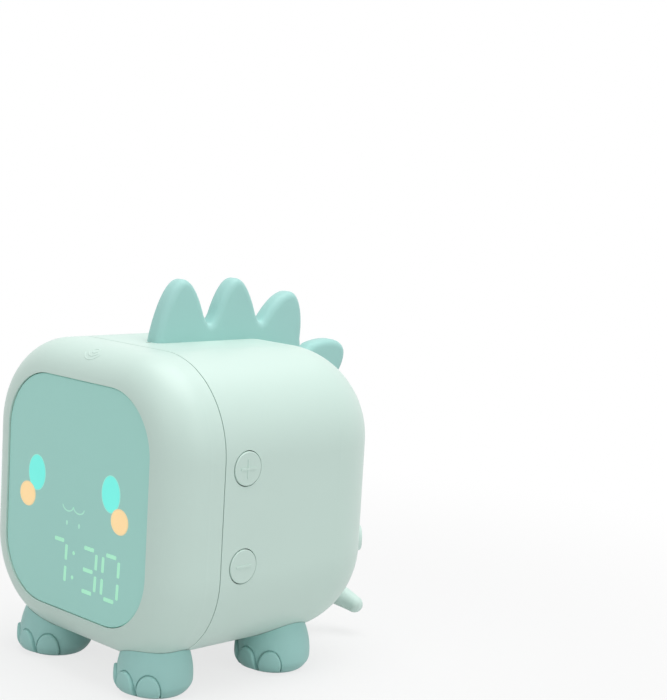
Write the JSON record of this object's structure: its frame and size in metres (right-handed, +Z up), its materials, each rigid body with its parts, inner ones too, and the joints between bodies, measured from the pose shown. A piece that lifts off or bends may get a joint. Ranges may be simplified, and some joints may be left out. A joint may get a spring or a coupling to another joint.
{
  "type": "kids alarm clock",
  "caption": "Rounded cube alarm clock and night light with a flat display face, soft back spikes, stub tail, stumpy feet, press keys and a rear charging port.",
  "frame": {"origin": "centre of the bounding box on the ground under the feet", "axes": "+X to the right of someone who faces the display (the side with the plus and minus keys), -Y out of the display face, +Z up"},
  "size_m": [0.0966, 0.1134, 0.1237],
  "materials": {
    "mint_shell": "satin mint paint over moulded plastic",
    "screen_tint": "gloss tinted window",
    "teal_silicone": "matt soft-touch",
    "mint_silicone": "matt soft-touch",
    "white_plastic": "matt white, light-tight",
    "black_plastic": "matt black",
    "circuit_board": "green solder mask",
    "lamp_resin": "milky resin",
    "cell_sleeve": "shrunk sleeve",
    "plated_steel": "zinc-plated",
    "speaker_paper": "black paper cone",
    "copper_foil": "bright foil"
  },
  "bodies": {
    "clock": {"front_housing": "mint_shell", "rear_housing": "mint_shell", "display_lens": "screen_tint", "light_baffle": "white_plastic", "display_board": "circuit_board", "segment_leds": "lamp_resin", "night_light_leds": "lamp_resin", "main_board": "circuit_board", "board_components": "black_plastic", "usb_socket": "plated_steel", "battery": "cell_sleeve", "battery_strap": "white_plastic", "speaker_frame": "plated_steel", "speaker_cone": "speaker_paper", "speaker_magnet": "plated_steel", "dorsal_crest": "teal_silicone", "tail": "mint_silicone", "touch_pad": "copper_foil", "right_key_board": "circuit_board", "left_key_board": "circuit_board", "tact_switches": "plated_steel", "port_cover_anchor": "mint_silicone", "foot_screws": "plated_steel", "board_screws": "plated_steel", "clamp_screws": "plated_steel", "foot_front_right": "teal_silicone", "foot_front_left": "teal_silicone", "foot_rear_right": "teal_silicone", "foot_rear_left": "teal_silicone"},
    "plus_key": {"plus_button": "mint_shell", "plus_plunger": "black_plastic"},
    "minus_key": {"minus_button": "mint_shell", "minus_plunger": "black_plastic"},
    "mode_key": {"mode_button": "mint_shell", "mode_plunger": "black_plastic"},
    "alarm_key": {"alarm_button": "mint_shell", "alarm_plunger": "black_plastic"},
    "port_flap": {"port_cover": "mint_silicone"}
  },
  "joints": [
    {"name": "plus_press", "type": "slide", "parent": "clock", "child": "plus_key", "axis": [-1, 0, 0], "range_m": [0, 0.0006], "stiffness_N_per_m": 600},
    {"name": "minus_press", "type": "slide", "parent": "clock", "child": "minus_key", "axis": [-1, 0, 0], "range_m": [0, 0.0006], "stiffness_N_per_m": 600},
    {"name": "mode_press", "type": "slide", "parent": "clock", "child": "mode_key", "axis": [1, 0, 0], "range_m": [0, 0.0006], "stiffness_N_per_m": 600},
    {"name": "alarm_press", "type": "slide", "parent": "clock", "child": "alarm_key", "axis": [1, 0, 0], "range_m": [0, 0.0006], "stiffness_N_per_m": 600},
    {"name": "port_cover_hinge", "type": "hinge", "parent": "clock", "child": "port_flap", "pos_m": [0.014, 0.0385, 0.0404], "axis": [0, 0, 1], "range_deg": [0, 100]}
  ]
}
